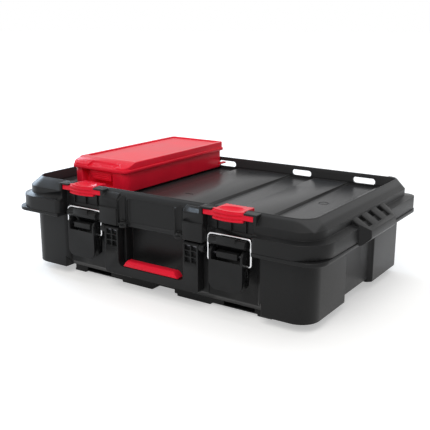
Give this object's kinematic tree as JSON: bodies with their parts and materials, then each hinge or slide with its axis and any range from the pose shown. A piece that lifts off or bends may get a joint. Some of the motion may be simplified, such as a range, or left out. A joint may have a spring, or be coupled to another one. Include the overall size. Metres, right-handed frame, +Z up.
{
  "type": "stackable tool case with clip-on organiser",
  "caption": "Shallow stackable tool case with hinged lid, draw latches with wire bails, folding handle, sliding stack clips and a clip-on lidded organiser on the lid.",
  "frame": {"origin": "on the floor under the middle of the case, hinges included", "axes": "+X along the front to the right, -Y the front with the latches, +Z up"},
  "size_m": [0.589, 0.3759, 0.1881],
  "materials": {
    "case_plastic": "fine-grained charcoal polypropylene",
    "latch_plastic": "smooth black polypropylene",
    "red_plastic": "satin red polypropylene",
    "bail_steel": "bright plated wire",
    "steel": "plain steel pin"
  },
  "bodies": {
    "case": {"tub": "case_plastic", "left_hinge_pin": "steel", "right_hinge_pin": "steel", "left_latch_pin": "steel", "right_latch_pin": "steel", "left_handle_pin": "steel", "right_handle_pin": "steel"},
    "lid": {"lid": "case_plastic"},
    "left_lever": {"left_latch_lever": "latch_plastic"},
    "right_lever": {"right_latch_lever": "latch_plastic"},
    "left_bail": {"left_latch_bail": "bail_steel"},
    "right_bail": {"right_latch_bail": "bail_steel"},
    "handle": {"handle_frame": "latch_plastic", "handle_grip": "red_plastic"},
    "left_clip": {"left_stack_clip": "red_plastic"},
    "right_clip": {"right_stack_clip": "red_plastic"},
    "organiser": {"organiser_base": "red_plastic", "organiser_hinge_pin": "steel"},
    "organiser_cover": {"organiser_lid": "red_plastic", "organiser_latch_pin": "steel"},
    "organiser_flap": {"organiser_latch": "red_plastic"}
  },
  "joints": [
    {"name": "lid_hinge", "type": "hinge", "parent": "case", "child": "lid", "pos_m": [0, 0.18195, 0.1095], "axis": [-1, 0, 0], "range_deg": [0, 105]},
    {"name": "left_lever_hinge", "type": "hinge", "parent": "case", "child": "left_lever", "pos_m": [-0.136, -0.17225, 0.0945], "axis": [-1, 0, 0], "range_deg": [0, 110]},
    {"name": "left_bail_hinge", "type": "hinge", "parent": "left_lever", "child": "left_bail", "pos_m": [-0.136, -0.17125, 0.0825], "axis": [-1, 0, 0], "range_deg": [-110, 0]},
    {"name": "left_clip_slide", "type": "slide", "parent": "lid", "child": "left_clip", "axis": [0, -1, 0], "range_m": [0, 0.01]},
    {"name": "right_lever_hinge", "type": "hinge", "parent": "case", "child": "right_lever", "pos_m": [0.136, -0.17225, 0.0945], "axis": [-1, 0, 0], "range_deg": [0, 110]},
    {"name": "right_bail_hinge", "type": "hinge", "parent": "right_lever", "child": "right_bail", "pos_m": [0.136, -0.17125, 0.0825], "axis": [-1, 0, 0], "range_deg": [-110, 0]},
    {"name": "right_clip_slide", "type": "slide", "parent": "lid", "child": "right_clip", "axis": [0, -1, 0], "range_m": [0, 0.01]},
    {"name": "handle_hinge", "type": "hinge", "parent": "case", "child": "handle", "pos_m": [0, -0.17225, 0.097], "axis": [-1, 0, 0], "range_deg": [0, 95]},
    {"name": "organiser_tilt", "type": "hinge", "parent": "lid", "child": "organiser", "pos_m": [-0.1485, 0.15325, 0.1589], "axis": [-1, 0, 0], "range_deg": [0, 30]},
    {"name": "organiser_cover_hinge", "type": "hinge", "parent": "organiser", "child": "organiser_cover", "pos_m": [-0.1485, 0.15625, 0.1804], "axis": [-1, 0, 0], "range_deg": [0, 100]},
    {"name": "organiser_flap_hinge", "type": "hinge", "parent": "organiser_cover", "child": "organiser_flap", "pos_m": [-0.147, -0.11525, 0.1686], "axis": [-1, 0, 0], "range_deg": [0, 60]}
  ],
  "couplings": [
    {"joint": "left_bail_hinge", "follows": "left_lever_hinge", "ratio": -1},
    {"joint": "right_bail_hinge", "follows": "right_lever_hinge", "ratio": -1}
  ]
}
